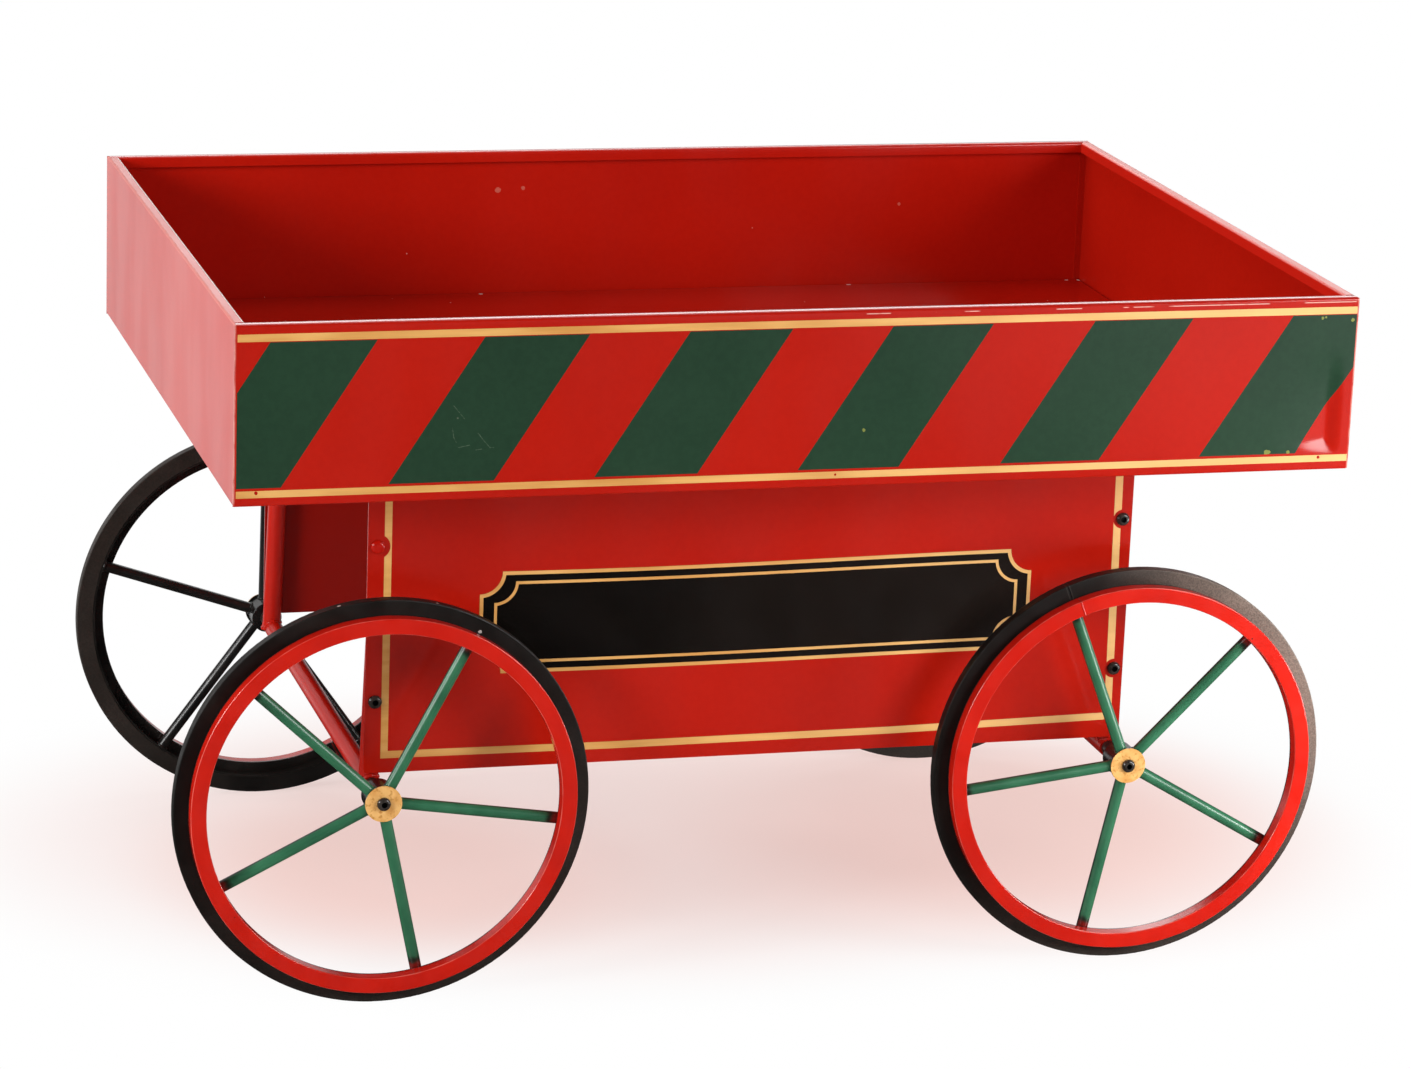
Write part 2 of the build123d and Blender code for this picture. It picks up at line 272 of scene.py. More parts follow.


# End walls, painted light: a lip brighter than the wall, a flange painted pinker as a painted sheen where it
# shines less, a painted highlight along its inner edge on the left, faint upright streaks outside as a
# painted reflection and the outer fold painted paler as a painted sheen
def end_wall_painted_light(f, colour):
    x, y, z = f.split(f.place)
    up = f.split(f.facing)[2]
    out = f.off(x, TRAY_SHIFT * MM)
    edge = (TRAY_LENGTH / 2 - RIM_FLANGE) * MM
    hang = (TRAY_BOTTOM + TRAY_HEIGHT - RIM_LIP) * MM
    # Painted light: the lip brighter than the wall below it
    lit_lip = f.product(f.between(out, edge + 0.0006, edge + 0.0022, 1.0, 0.0), f.between(z, hang - 0.0004, hang))
    colour = f.mix(lit_lip, colour, (0.62, 0.0165, 0.0075))
    # Painted sheen: the flange pinker, more so on the right wall
    flange = f.between(up, 0.3, 0.6)
    colour = f.mix(f.product(flange, f.between(x, -0.1, 0.1, 0.3, 0.6)), colour, (0.95, 0.19, 0.14))
    # Painted highlight along the left flange's inner edge
    edge_glint = f.product(flange, f.between(out, edge + 0.0018, edge + 0.0023, 1.0, 0.0))
    colour = f.mix(f.product(edge_glint, f.between(x, -0.1, 0.1, 0.9, 0.0)), colour, (0.97, 0.86, 0.80))
    shine = f.shader.inputs["Specular IOR Level"]
    level = shine.default_value
    f.tree.links.new(f.between(flange, 0.0, 1.0, level, level * 0.55), shine)
    # Painted reflection: faint upright streaks on the outer faces
    runs = f.between(f.noise(15.0, 3.0, stretch=(1.0, 1.0, 0.05)), 0.35, 0.7, 0.06, 0.16)
    outside = outward(f)
    colour = f.mix(f.product(runs, f.between(outside, 0.3, 0.8)), colour, (0.66, 0.20, 0.165))
    # Painted sheen: the outer fold paler
    fold = f.product(f.between(up, 0.2, 0.4), f.between(outside, 0.2, 0.4, 0.0, 0.35))
    return f.mix(fold, colour, (0.75, 0.40, 0.36))


def end_dull(f):
    up = f.split(f.facing)[2]
    return f.largest(f.math("GREATER_THAN", up, 0.3), f.math("GREATER_THAN", outward(f), 0.3))


# Side panels: the inner faces painted darker, as painted shade
def panel_inside_shade(f, colour):
    inward = f.product(f.split(f.facing)[1], f.math("SIGN", f.split(f.place)[1]))
    return f.mix(f.between(inward, -0.6, -0.2, 1.0, 0.0), colour, (0.27, 0.0048, 0.0016))


# Marks, as (x from the tray's middle, y, z, radius) in mm, and scratches as runs of (x from the middle, z)
def from_middle(places):
    return [(TRAY_SHIFT + x, *rest) for x, *rest in places]


BACK_MARKS = from_middle([
    (-103.9, 325.2, 538.1, 2.6), (-80.8, 325.2, 539.5, 1.8), (275.8, 325.2, 518.3, 1.5),
])
FLOOR_MARKS = from_middle([
    (-118.8, 318.8, TRAY_FLOOR, 1.8), (229.6, 322.3, TRAY_FLOOR, 2.2),
    (441.7, 319.4, TRAY_FLOOR, 1.7), (453.6, 318.4, TRAY_FLOOR, 2.2),
])
BAND_MARKS = from_middle([
    (385.5, -326.4, 448.4, 2.0), (387.9, -326.2, 448.6, 1.4), (404.6, -326.0, 448.0, 1.5),
    (426.4, -326.4, 558.6, 1.2), (429.2, -326.4, 559.4, 0.9), (452.6, -326.4, 556.5, 1.5),
    (44.4, -326.4, 477.8, 1.3),
])
GOLD_MARKS = from_middle([(-439.4, -326.4, 443.2, 1.5), (431.1, -326.4, 443.0, 1.3)])
SCRATCH_RUNS = [from_middle(run) for run in (
    [(-286.6, 507.5), (-277.8, 496.7)],
    [(-266.9, 485.1), (-261.8, 478.4), (-257.2, 473.3), (-254.2, 473.2)],
    [(-287.2, 489.8), (-286.0, 482.2), (-283.9, 478.2)],
    [(-281.9, 474.1), (-273.1, 475.8)],
    [(-268.6, 471.7), (-263.6, 472.3)],
)]
SCRATCH_WIDTH = 0.32


def back_wear(f, colour):
    return f.mix(f.spots(BACK_MARKS), colour, (0.62, 0.13, 0.09))


def floor_wear(f, colour):
    return f.mix(f.spots(FLOOR_MARKS), colour, (0.97, 0.90, 0.86))


def band_wear(f, colour):
    colour = f.mix(f.spots(BAND_MARKS), colour, (0.22, 0.25, 0.06))
    return f.mix(f.scratches(SCRATCH_RUNS, SCRATCH_WIDTH), colour, (0.085, 0.13, 0.085))


# Gold lines: satin paint with a faint brushed grain along the line, paler to the right as painted light,
# nicked to the red
def gold_paint():
    f = Finish("gold_line_wall", {"IOR": 1.45})
    red = (0.40, 0.008, 0.003)
    grain = f.noise(60.0, 3.0, stretch=(0.25, 1.0, 2.5))
    tone = f.math("MULTIPLY_ADD", f.cloud(9.0), 0.6, f.between(grain, 0.3, 0.7, 0.0, 0.4))
    colour = f.mix(tone, (0.62, 0.285, 0.070), (0.84, 0.48, 0.155))
    # Painted light: paler to the right
    colour = f.mix(f.between(f.split(f.place)[0], -0.15, 0.36, 0.0, 0.5), colour, (0.94, 0.63, 0.275))
    colour = f.mix(f.nicks(95.0, 0.0011, 0.045), colour, red)
    colour = f.mix(f.spots(GOLD_MARKS), colour, red)
    return f.done(colour, f.between(grain, 0.3, 0.7, 0.18, 0.26), f.bump((grain, 0.00003)))


# Black field of the plaque: dusty in patches, and lighter to the right as a painted sheen
def plaque_black():
    f = Finish("plaque_black", {"IOR": 1.45})
    # Painted sheen: lighter to the right, over the dusty patches
    along = f.between(f.split(f.place)[0], -0.2, 0.12)
    dust = f.math("MULTIPLY_ADD", f.cloud(14.0, 4.0), 0.25, f.product(along, 0.75))
    colour = f.mix(dust, (0.0030, 0.0024, 0.0019), (0.0135, 0.0092, 0.0074))
    return f.done(colour, f.cloud(30.0, 3.0, 0.17, 0.25), f.bump((f.noise(180.0), 0.00003)))


# Rims: red sprayed from outboard over the black base coat, the weld seam of the rolled bar, and painted
# highlights along the edges of the face
def rim_paint(corner):
    centre_x, side = wheel_place(corner)
    f = Finish(corner + "_rim_paint", {"IOR": 1.5})
    out = f.math("MULTIPLY_ADD", f.split(f.place)[1], side, -BAR_BACK_Y * MM)
    drift = f.math("MULTIPLY_ADD", f.noise(40.0, 3.0), 0.003, -0.0015)
    sprayed = f.between(f.math("ADD", out, drift), 0.0006, 0.0042)
    tone = f.cloud(26.0, 3.0)
    red = f.mix(tone, (0.53, 0.0090, 0.0030), (0.61, 0.0125, 0.0044))
    base = f.mix(tone, (0.009, 0.008, 0.007), (0.020, 0.017, 0.015))
    colour = f.mix(sprayed, base, red)
    weld = f.between(f.off(f.turn(centre_x), math.radians(WHEELS[corner]["seam"])), 0.0, 0.008, 1.0, 0.0)
    colour = f.mix(f.product(weld, 0.45), colour, (0.30, 0.010, 0.005))
    colour = f.mix(f.nicks(85.0, 0.0006, 0.06), colour, (0.02, 0.015, 0.013))
    # Painted highlights along the inner and outer edges of the bar's face
    reach = f.reach(centre_x)
    inner = f.between(reach, (BAR_INNER + 0.1) * MM, (BAR_INNER + 0.7) * MM, 1.0, 0.0)
    outer = f.between(reach, (BAR_OUTER - 0.7) * MM, (BAR_OUTER - 0.1) * MM)
    front = f.between(out, (BAR_WIDTH - 1.0) * MM, (BAR_WIDTH - 0.3) * MM)
    edge_glint = f.product(f.largest(inner, outer), front, f.between(f.noise(45.0, 3.0), 0.35, 0.6, 0.12, 0.5))
    colour = f.mix(edge_glint, colour, (0.86, 0.30, 0.24))
    return f.done(colour, f.cloud(60.0, 3.0, 0.15, 0.22), f.bump((f.noise(240.0), 0.000016), (weld, 0.0003)))


# Spokes: green outboard and the black base coat inboard; near the rim the black base coat with painted shade
# where they run in behind the rim, and red overspray at the rim with a painted red reflection of it
def spoke_paint(corner):
    centre_x, side = wheel_place(corner)
    f = Finish(corner + "_spoke_paint", {"IOR": 1.5})
    out = f.product(f.split(f.facing)[1], side)
    drift = f.math("MULTIPLY_ADD", f.noise(70.0, 3.0), 0.3, -0.15)
    sprayed = f.between(f.math("ADD", out, drift), 0.08, 0.40)
    tone = f.cloud(30.0, 3.0)
    green = f.mix(tone, (0.020, 0.118, 0.056), (0.036, 0.178, 0.086))
    base = f.mix(tone, (0.006, 0.006, 0.006), (0.015, 0.014, 0.013))
    colour = f.mix(sprayed, base, green)
    # Near the rim: black base coat with painted shade, then red overspray with a painted reflection of the
    # rim
    reach = f.math("ADD", f.reach(centre_x), f.math("MULTIPLY_ADD", f.noise(160.0), 0.006, -0.003))
    colour = f.mix(f.between(reach, 0.1335, 0.1385, 0.0, 0.9), colour, (0.010, 0.008, 0.007))
    colour = f.mix(f.product(sprayed, f.between(reach, 0.1385, 0.1425)), colour, (0.19, 0.007, 0.004))
    colour = f.mix(f.nicks(120.0, 0.0004, 0.04), colour, (0.16, 0.20, 0.16))
    return f.done(colour, f.cloud(80.0, 3.0, 0.285, 0.34), f.bump((f.noise(300.0, 1.0), 0.000004)))


# Tyre rubber: fine grain, dusty cloud, a painted grey-brown sheen over part of the turn where light falls on
# it, scuffs, the cut strip's joint
def rubber(corner):
    wheel = WHEELS[corner]
    f = Finish(corner + "_rubber", {"IOR": 1.5, "Specular IOR Level": 0.3})
    angle = f.turn(wheel_place(corner)[0])
    grain = f.noise(900.0)
    dust = f.between(f.noise(24.0, 5.0), 0.42, 0.75)
    colour = f.mix(dust, (0.0058, 0.0046, 0.0036), (0.0125, 0.0100, 0.0082))
    speckle = f.between(grain, 0.3, 0.7, 0.55, 1.0)
    cover = f.product(speckle, f.between(f.noise(30.0, 3.0), 0.25, 0.7, 0.75, 1.0))
    # Painted sheen where light falls on the tyre
    for middle, full_to, none_from, amount in wheel["painted_sheens"]:
        away = f.off(angle, math.radians(middle))
        away = f.smallest(away, f.math("SUBTRACT", 2 * math.pi, away))
        sheen_mask = f.between(away, math.radians(full_to), math.radians(none_from), amount, 0.0)
        colour = f.mix(f.product(sheen_mask, cover), colour, (0.30, 0.22, 0.175))
    away = f.off(angle, math.radians(wheel["joint"]))
    joint = f.between(away, 0.0012, 0.0042, 1.0, 0.0)
    lips = f.between(f.off(away, 0.009), 0.0, 0.004, 1.0, 0.0)
    colour = f.mix(f.product(lips, 0.4), colour, (0.075, 0.065, 0.058))
    colour = f.mix(joint, colour, (0.002, 0.002, 0.002))
    colour = f.mix(f.nicks(70.0, 0.0005, 0.03), colour, (0.13, 0.115, 0.105))
    if wheel["scuffs"]:
        colour = f.mix(f.spots(wheel["scuffs"]), colour, (0.50, 0.46, 0.43))
    return f.done(colour, f.cloud(45.0, 4.0, 0.42, 0.6), f.bump((grain, 0.00006), (joint, -0.0006)))


# Where a washer's paint starts, from the cart's middle, and where the painted shade in a screw's socket ends,
# from its centre
WASHER_PAINT = (271.9, 272.4)
SOCKET_EDGE = (2.2, 2.6)


# Small parts in one colour with mottling, for hubs, screws, sleeves and washers. rust is a second colour in
# patches, bare is what shows behind a washer's painted face, sockets are (x, z) of hexagon sockets in mm,
# dark inside as painted shade
def small_part(name, dark, light, rough, metallic=0.0, scale=90.0, grain=0.00004,
               rust=None, bare=None, sockets=()):
    f = Finish(name, {"Metallic": metallic, "IOR": 1.5})
    colour = f.mix(f.cloud(scale, 4.0), dark, light)
    if rust:
        colour = f.mix(f.between(f.noise(scale * 2.2, 5.0), 0.52, 0.66), colour, rust)
    if bare:
        out = f.math("ABSOLUTE", f.split(f.place)[1])
        colour = f.mix(f.between(out, *(y * MM for y in WASHER_PAINT)), bare, colour)
    if sockets:
        # Painted shade inside the hex sockets
        flat = f.flat()
        near = f.smallest(*(f.distance(flat, (x * MM, 0, z * MM)) for x, z in sockets))
        socket_shade = f.between(near, *(r * MM for r in SOCKET_EDGE), 1.0, 0.0)
        colour = f.mix(socket_shade, colour, (0.0015, 0.0013, 0.0012))
    return f.done(colour, f.cloud(scale * 1.7, 3.0, *rough), f.bump((f.noise(scale * 9.0), grain)))


# Paints: darker, lighter and nick colours
RED = ((0.425, 0.0078, 0.0026), (0.49, 0.0108, 0.0036), (0.75, 0.45, 0.42))
# The long back wall's red is the same red made about an eighth lighter: painted light
RED_BACK_LIT = ((0.475, 0.0082, 0.0027), (0.545, 0.0114, 0.0038), (0.75, 0.45, 0.42))
GREEN = ((0.0145, 0.039, 0.0215), (0.021, 0.056, 0.030), (0.10, 0.13, 0.09))

red_end = enamel("red_enamel_end_wall", *RED, peel=0.0000008, wear_and_light=end_wall_painted_light, dull=end_dull)
red_back_lit = enamel("red_enamel_back_wall_lit", *RED_BACK_LIT, seed=1.7, wear_and_light=back_wear)
red_floor = enamel("red_enamel_floor", *RED, share=0.09, seed=3.1, wear_and_light=floor_wear)
red_panel = enamel("red_enamel_panel", *RED, gloss=(0.16, 0.22), share=0.02, seed=5.3, wear_and_light=panel_inside_shade)
red_tube = enamel(
    "red_enamel_tube", *RED, gloss=(0.29, 0.35), wave=0.0001, share=0.04, seed=7.9, peel=0.000002, shine=0.28)
red_front = enamel("red_enamel_front_wall", *RED, wear_and_light=front_wear_and_glints)
green_band = enamel("green_enamel_band", *GREEN, seed=2.3, wear_and_light=band_wear)
gold = gold_paint()
black_field = plaque_black()

hub_black = small_part("hub_black", (0.006, 0.006, 0.006), (0.016, 0.014, 0.013), (0.17, 0.26))
HEADS = ((SCREW_X, SCREW_LOW), (SCREW_X, SCREW_HIGH), (AXLE_X, AXLE_Z))
SOCKETS = [(s * x, z) for x, z in HEADS for s in (-1, 1)]
screw_black = small_part(
    "screw_black_oxide", (0.018, 0.015, 0.013), (0.048, 0.040, 0.035), (0.13, 0.2),
    scale=220.0, grain=0.00001, sockets=SOCKETS)
sleeve_steel = small_part(
    "sleeve_steel", (0.055, 0.038, 0.032), (0.125, 0.088, 0.076), (0.3, 0.48),
    metallic=0.7, scale=140.0, rust=(0.075, 0.026, 0.017))
washer_gold = small_part(
    "washer_gold", (0.70, 0.34, 0.09), (0.86, 0.50, 0.17), (0.17, 0.25),
    scale=120.0, grain=0.00002, rust=(0.58, 0.26, 0.060), bare=(0.010, 0.009, 0.008))
screw_red = small_part("screw_red", (0.44, 0.006, 0.002), (0.55, 0.010, 0.004), (0.14, 0.22), scale=160.0)


def dress(material, *names):
    for name in names:
        slots = nodes[name].data.materials
        for i in range(len(slots)):
            slots[i] = material


dress(red_end, "tray_left_wall", "tray_right_wall")
dress(red_floor, "tray_floor")
dress(red_panel, "front_side_panel", "rear_side_panel")
dress(red_tube, "front_top_rail", "rear_top_rail", "left_cross_rail", "right_cross_rail")
dress(red_tube, "left_axle_tube", "right_axle_tube")
dress(screw_red, "painted_panel_screw")
dress(screw_black, "panel_screws", "axle_bolts")
dress(sleeve_steel, "axle_plugs")
dress(washer_gold, "hub_washers")
spoke_finish = {}
for corner in WHEELS:
    spoke_finish[corner] = spoke_paint(corner)
    dress(red_tube, corner + "_post")
    dress(sleeve_steel, corner + "_axle_sleeve")
    dress(hub_black, corner + "_hub")
    dress(spoke_finish[corner], corner + "_spokes")
    dress(rim_paint(corner), corner + "_rim")
    dress(rubber(corner), corner + "_tyre")


# Edges sharper than these stay sharp, in degrees
WALL_SMOOTH, BEAD_SMOOTH = 32, 60


# Makes an object from a bmesh in mm and sets it to ride on a body
def piece(name, bm, materials, body, smooth_angle=None):
    bmesh.ops.recalc_face_normals(bm, faces=bm.faces)
    bmesh.ops.scale(bm, vec=(MM, MM, MM), verts=bm.verts)
    mesh = bpy.data.meshes.new(name)
    bm.to_mesh(mesh)
    bm.free()
    for material in materials:
        mesh.materials.append(material)
    if smooth_angle:
        mesh.shade_smooth()
        mesh.set_sharp_from_angle(angle=math.radians(smooth_angle))
    made = bpy.data.objects.new(name, mesh)
    bpy.context.scene.collection.objects.link(made)
    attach(made, body)
    return made


def half_turn(bm):
    bmesh.ops.rotate(bm, cent=(0, 0, 0), matrix=Matrix.Rotation(math.pi, 3, "Z"), verts=bm.verts)


def spread(start, stop, steps):
    return [start + (stop - start) * i / steps for i in range(steps + 1)]


def arc(cx, cy, radius, start, stop, steps):
    turn = [math.radians(a) for a in spread(start, stop, steps)]
    return [(cx + radius * math.cos(a), cy + radius * math.sin(a)) for a in turn]


# Pattern on a long wall's outer face, in mm: x from the tray's middle, z from the floor. A green band starts
# at each of BAND_STARTS on the line z = BAND_REF and leans to the right
GOLD_ROWS = ((439.2, 444.8), (561.75, 567.65))
BAND_LOW, BAND_HIGH = 446.8, 561.2
BAND_LEAN = 72.5 / 113.0
BAND_STARTS = (-430.4, -263.6, -100.6, 64.3, 232.1, 400.6)
BAND_WIDTH, BAND_REF = 83.0, 560.5
PATTERN_LEFT, PATTERN_RIGHT = -455.0, 456.0
WALL_FACE = -TRAY_DEPTH / 2

# Mesh of a long wall: rows over the bands' height, steps round the outside and inside of a bend, and the
# distances in mm under which points count as level
BAND_ROWS, OUTER_STEPS, INNER_STEPS = 30, 6, 4
TINY, ON_FACE, NEAR = 1e-6, 1e-4, 0.01

# Dent near the front wall's lower right corner, in mm, and the mesh steps before and after its start
DENT_LEFT, DENT_RIGHT, DENT_LOW, DENT_HIGH = 384.0, 449.4, 444.6, 538.0
DENT_DEPTH, DENT_FOOT, DENT_HEAD = 4.2, 14.0, 60.0
CREASE, CREASE_SHIFT, CREASE_BEND, CREASE_RUN = 436.0, 8.0, 458.0, 12.0
DENT_MESH, PLAIN_STEPS, DENT_STEPS = 380.0, 80, 40


# Outline of a folded wall, (in, up) in mm: outer side from foot to lip, then the inner side back to the foot
def wall_chains(levels):
    top = TRAY_HEIGHT
    outer = [(FOOT_FLANGE, 0.0)] + arc(BEND, BEND, BEND, 270, 180, OUTER_STEPS)
    outer += [(0.0, z) for z in levels]
    outer += arc(BEND, top - BEND, BEND, 180, 90, OUTER_STEPS)
    outer += arc(RIM_FLANGE - BEND, top - BEND, BEND, 90, 0, OUTER_STEPS) + [(RIM_FLANGE, top - RIM_LIP)]
    r = BEND - SHEET
    inner = [(RIM_FLANGE - SHEET, top - RIM_LIP)]
    inner += arc(RIM_FLANGE - BEND, top - BEND, r, 0, 90, INNER_STEPS)
    inner += arc(BEND, top - BEND, r, 90, 180, INNER_STEPS)
    inner += [(SHEET, z) for z in reversed(levels[::2])]
    inner += arc(BEND, BEND, r, 180, 270, INNER_STEPS) + [(FOOT_FLANGE, SHEET)]
    return outer, inner


def dent_depth(x, z):
    def clamp(t):
        return min(max(t, 0.0), 1.0)

    def ease(t):
        return clamp(t) ** 2 * (3 - 2 * clamp(t))

    crease = CREASE + CREASE_SHIFT * ease((CREASE_BEND - z) / CREASE_RUN)
    across = clamp((x - DENT_LEFT) / (crease - DENT_LEFT)) ** 2
    across *= ease((DENT_RIGHT - x) / (DENT_RIGHT - crease))
    up = ease((z - DENT_LOW) / DENT_FOOT) * ease((DENT_HIGH - z) / DENT_HEAD)
    return DENT_DEPTH * across * up


# Folded sheet of a long wall. The outermost sheet thickness of each end is the upright alone, in front of the
# end walls
def wall_mesh():
    rows = spread(BAND_LOW, BAND_HIGH, BAND_ROWS) + [z for row in GOLD_ROWS for z in row]
    outer, inner = wall_chains(sorted(z - TRAY_BOTTOM for z in rows))
    loop = outer + inner
    # Each outer bend has a point just one sheet thickness in, because BEND is twice SHEET
    at_sheet = [i for i, p in enumerate(loop) if abs(p[0] - SHEET) < TINY]
    low, high = at_sheet[:2]
    inside = at_sheet[2:]
    half = TRAY_LENGTH / 2
    stations = [SHEET - half] + spread(PATTERN_LEFT, DENT_MESH, PLAIN_STEPS)
    stations += spread(DENT_MESH, half - SHEET, DENT_STEPS)[1:]
    bm = bmesh.new()

    def vertex(x, p):
        return bm.verts.new((x, WALL_FACE + p[0], TRAY_BOTTOM + p[1]))

    rings = [[vertex(x, p) for p in loop] for x in stations]
    for a, b in zip(rings, rings[1:]):
        for i in range(len(loop)):
            j = (i + 1) % len(loop)
            bm.faces.new((a[i], b[i], b[j], a[j]))
    strip = list(range(low, high + 1)) + inside
    rim = range(high, inside[0] + 1)
    foot = [*range(inside[-1], len(loop)), *range(low + 1)]
    for ring, x in ((rings[0], -half), (rings[-1], half)):
        end = {i: vertex(x, loop[i]) for i in strip}
        for i, j in zip(strip, strip[1:] + strip[:1]):
            bm.faces.new((ring[i], end[i], end[j], ring[j]))
        bm.faces.new([end[i] for i in strip])
        bm.faces.new([ring[i] for i in rim])
        bm.faces.new([ring[i] for i in foot])
    return bm


def on_face(face):
    return all(abs(v.co.y - WALL_FACE) < ON_FACE for v in face.verts)


# Cuts the outer face along the bands' sloping edges
def cut_bands(bm):
    for x in (x for start in BAND_STARTS for x in (start, start + BAND_WIDTH)):
        faces = []
        for f in bm.faces:
            heights = [v.co.z for v in f.verts]
            if on_face(f) and BAND_LOW - NEAR < min(heights) and max(heights) < BAND_HIGH + NEAR:
                faces.append(f)
        edges = dict.fromkeys(e for f in faces for e in f.edges)
        verts = dict.fromkeys(v for f in faces for v in f.verts)
        bmesh.ops.bisect_plane(
            bm, geom=[*faces, *edges, *verts], dist=0.0001,
            plane_co=(x, WALL_FACE, BAND_REF), plane_no=(1, 0, -BAND_LEAN))


# Which of the wall's materials a face has: 0 red, 1 green, 2 gold
def wall_colour(face):
    c = face.calc_center_median()
    if not on_face(face) or not PATTERN_LEFT < c.x < PATTERN_RIGHT:
        return 0
    if any(low < c.z < high for low, high in GOLD_ROWS):
        return 2
    start = c.x + (BAND_REF - c.z) * BAND_LEAN
    in_band = any(s < start < s + BAND_WIDTH for s in BAND_STARTS)
    return 1 if in_band and BAND_LOW < c.z < BAND_HIGH else 0


# Long tray wall with its painted face cut along the lines of the pattern
def painted_wall(name, node, red, rear):
    bm = wall_mesh()
    cut_bands(bm)
    for face in bm.faces:
        face.material_index = wall_colour(face)
    if rear:
        half_turn(bm)
    else:
        for v in bm.verts:
            if v.co.y < WALL_FACE + SHEET + NEAR:
                v.co.y += dent_depth(v.co.x, v.co.z)
    bmesh.ops.translate(bm, vec=(TRAY_SHIFT, 0, 0), verts=bm.verts)
    made = piece(name, bm, [red, green_band, gold], "cart", WALL_SMOOTH)
    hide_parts(node)


painted_wall("striped_front_wall", "tray_front_wall", red_front, False)
painted_wall("striped_rear_wall", "tray_rear_wall", red_back_lit, True)

# Thickness of the paint on the side panels, and the gap under each layer, in mm
FILM, FILM_GAP = 0.12, 0.02


# Thin painted shape on a side panel: polygons of (x, z) in mm, given as seen on the front
def film(name, polygons, material, rear, level=0):
    bm = bmesh.new()
    back = -PANEL_FACE - FILM_GAP - level * (FILM + FILM_GAP)
    for polygon in polygons:
        near = [bm.verts.new((x, back - FILM, z)) for x, z in polygon]
        far = [bm.verts.new((x, back, z)) for x, z in polygon]
        bm.faces.new(near)
        bm.faces.new(far[::-1])
        for i in range(len(polygon)):
            j = (i + 1) % len(polygon)
            bm.faces.new((near[i], far[i], far[j], near[j]))
    bm.normal_update()
    bmesh.ops.triangulate(bm, faces=[f for f in bm.faces if len(f.verts) > 4], ngon_method="EAR_CLIP")
    if rear:
        half_turn(bm)
    piece(name, bm, [material], "cart")


# Gold border, in mm: lines with round bites that clear the screw heads. BORDER_FOOT runs along the middle of
# the lower line
BORDER_WIDTH = 6.0
BORDER_FOOT = ((-305.2, 194.1), (-120.0, 193.1), (120.0, 194.15), (310.9, 197.4))
BORDER_TOP, BORDER_TOP_INNER = 413.0, 406.5
LEFT_OUTER, LEFT_INNER = -308.15, -302.25
RIGHT_LOW_OUTER, RIGHT_LOW_INNER = 314.1, 307.6
RIGHT_HIGH_OUTER, RIGHT_HIGH_INNER = 311.7, 305.3
BITE_LEFT, BITE_RIGHT, BITE_STEPS = 10.2, 8.2, 10


def border_polygons():
    foot = [(x, z - BORDER_WIDTH / 2) for x, z in BORDER_FOOT]
    ledge = [(x, z + BORDER_WIDTH / 2) for x, z in BORDER_FOOT]
    outer_bl, inner_bl = (LEFT_OUTER, foot[0][1]), (LEFT_INNER, ledge[0][1])
    outer_br, inner_br = (RIGHT_LOW_OUTER, foot[-1][1]), (RIGHT_LOW_INNER, ledge[-1][1])
    outer_tr, inner_tr = (RIGHT_HIGH_OUTER, BORDER_TOP), (RIGHT_HIGH_INNER, BORDER_TOP_INNER)
    outer_tl, inner_tl = (LEFT_OUTER, BORDER_TOP), (LEFT_INNER, BORDER_TOP_INNER)

    # The left line has one bite, by its upper screw
    reach = math.degrees(math.acos((SCREW_X + LEFT_OUTER) / BITE_LEFT))
    bite = arc(-SCREW_X, SCREW_HIGH, BITE_LEFT, reach, -reach, BITE_STEPS)
    left = [outer_tl] + bite + [outer_bl, inner_bl, inner_tl]
    bottom = [outer_bl] + foot[1:-1] + [outer_br, inner_br] + ledge[-2:0:-1] + [inner_bl]
    top = [inner_tl, inner_tr, outer_tr, outer_tl]

    # The right line is broken by both of its screws
    ends = []
    for z in (SCREW_LOW, SCREW_HIGH):
        t = (z - inner_br[1]) / (inner_tr[1] - inner_br[1])
        x_in = inner_br[0] + (inner_tr[0] - inner_br[0]) * t
        x_out = outer_br[0] + (outer_tr[0] - outer_br[0]) * t
        at_in = math.degrees(math.acos(max(-1.0, (x_in - SCREW_X) / BITE_RIGHT)))
        at_out = math.degrees(math.acos((x_out - SCREW_X) / BITE_RIGHT))
        ends.append(arc(SCREW_X, z, BITE_RIGHT, -at_out, -at_in, BITE_STEPS))
        ends.append(arc(SCREW_X, z, BITE_RIGHT, at_in, at_out, BITE_STEPS))
    right_low = [inner_br, outer_br] + ends[0]
    right_high = ends[3] + [outer_tr, inner_tr]
    return [left, bottom, top, right_low, ends[1] + ends[2], right_high]


# Plaque in mm: left, right, bottom, top, radius of the corner scoops. It was laid by hand, so its lines sag
# by a long wave, lowest at SAG_X. The lower and upper lines' shift and sag are given, and between them they
# blend
PLAQUE = (-229.6, 236.0, 260.0, 344.2, 18.5)
PLAQUE_INNER = (-217.6, 224.4, 268.2, 335.9, 17.5)
LINE, LINE_INNER = 2.95, 2.4
SAG_X, SAG_WAVE = -95.0, 680.0
LOW_SHIFT, LOW_SAG = -1.1, 1.1
HIGH_SHIFT, HIGH_SAG = 0.1, 1.6
SCOOP_STEPS, SIDE_STEPS = 12, 16


